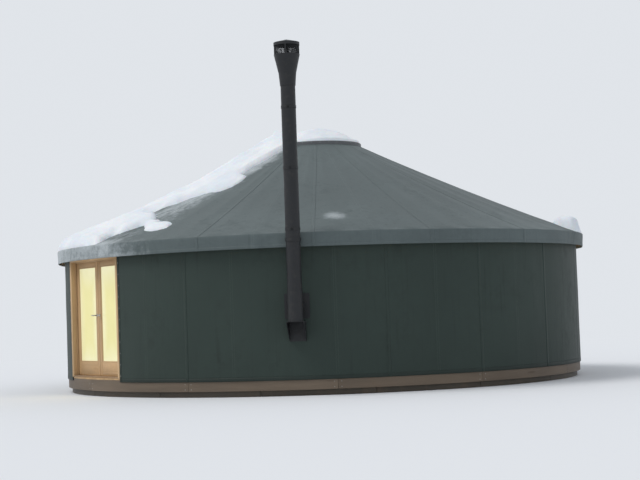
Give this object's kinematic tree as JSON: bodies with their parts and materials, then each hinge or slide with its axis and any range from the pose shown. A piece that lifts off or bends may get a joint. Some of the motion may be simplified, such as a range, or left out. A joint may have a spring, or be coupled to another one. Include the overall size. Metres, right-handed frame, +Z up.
{
  "type": "fabric yurt",
  "caption": "Round fabric yurt with cone roof, domed skylight, lattice wall, glazed double door and outside stove flue.",
  "frame": {"origin": "centre of the platform's underside, on the ground", "axes": "+Z up along the yurt's axis, the door faces -Y, +X to the right of someone who faces the door"},
  "size_m": [9.3796, 9.3796, 5.34],
  "materials": {
    "platform_wood": "stained timber",
    "floor_wood": "oiled boards",
    "wall_fabric": "coated canvas, dark green",
    "roof_fabric": "coated canvas, slate green",
    "lattice_wood": "planed softwood",
    "rafter_wood": "planed softwood",
    "cable_steel": "galvanised",
    "crown_wood": "laminated timber",
    "flashing_metal": "mill",
    "skylight_acrylic": "clear acrylic",
    "frame_wood": "varnished pine",
    "sill_wood": "oiled hardwood",
    "door_wood": "varnished pine",
    "door_glass": "clear, lit from inside",
    "hinge_steel": "brushed",
    "flue_steel": "matt black",
    "bracket_steel": "matt black"
  },
  "bodies": {
    "yurt": {"platform": "platform_wood", "floor_boards": "floor_wood", "wall_cover_1": "wall_fabric", "wall_cover_2": "wall_fabric", "wall_cover_3": "wall_fabric", "wall_cover_4": "wall_fabric", "wall_cover_5": "wall_fabric", "wall_cover_6": "wall_fabric", "wall_cover_7": "wall_fabric", "wall_cover_8": "wall_fabric", "lattice_outer": "lattice_wood", "lattice_inner": "lattice_wood", "tension_cable": "cable_steel", "rafters_front": "rafter_wood", "rafters_right": "rafter_wood", "rafters_back": "rafter_wood", "rafters_left": "rafter_wood", "roof_cover_1": "roof_fabric", "roof_cover_2": "roof_fabric", "roof_cover_3": "roof_fabric", "roof_cover_4": "roof_fabric", "roof_cover_5": "roof_fabric", "roof_cover_6": "roof_fabric", "roof_cover_7": "roof_fabric", "roof_cover_8": "roof_fabric", "crown_ring": "crown_wood", "skylight_flashing": "flashing_metal", "skylight_dome": "skylight_acrylic", "left_jamb": "frame_wood", "right_jamb": "frame_wood", "door_lintel": "frame_wood", "door_sill": "sill_wood", "frame_hinges": "hinge_steel", "flue_thimble": "flue_steel", "flue_bracket": "bracket_steel", "flue_tee": "flue_steel", "flue_pipe": "flue_steel", "flue_stay": "bracket_steel", "flue_cap": "flue_steel"},
    "left_leaf": {"left_door": "door_wood", "left_pane": "door_glass", "left_fittings": "hinge_steel"},
    "right_leaf": {"right_door": "door_wood", "right_pane": "door_glass", "right_fittings": "hinge_steel"}
  },
  "joints": [
    {"name": "left_door_hinge", "type": "hinge", "parent": "yurt", "child": "left_leaf", "pos_m": [-0.8775, -4.32478, 1.2], "axis": [0, 0, 1], "range_deg": [0, 95]},
    {"name": "right_door_hinge", "type": "hinge", "parent": "yurt", "child": "right_leaf", "pos_m": [0.8775, -4.32478, 1.2], "axis": [0, 0, -1], "range_deg": [0, 95]}
  ]
}
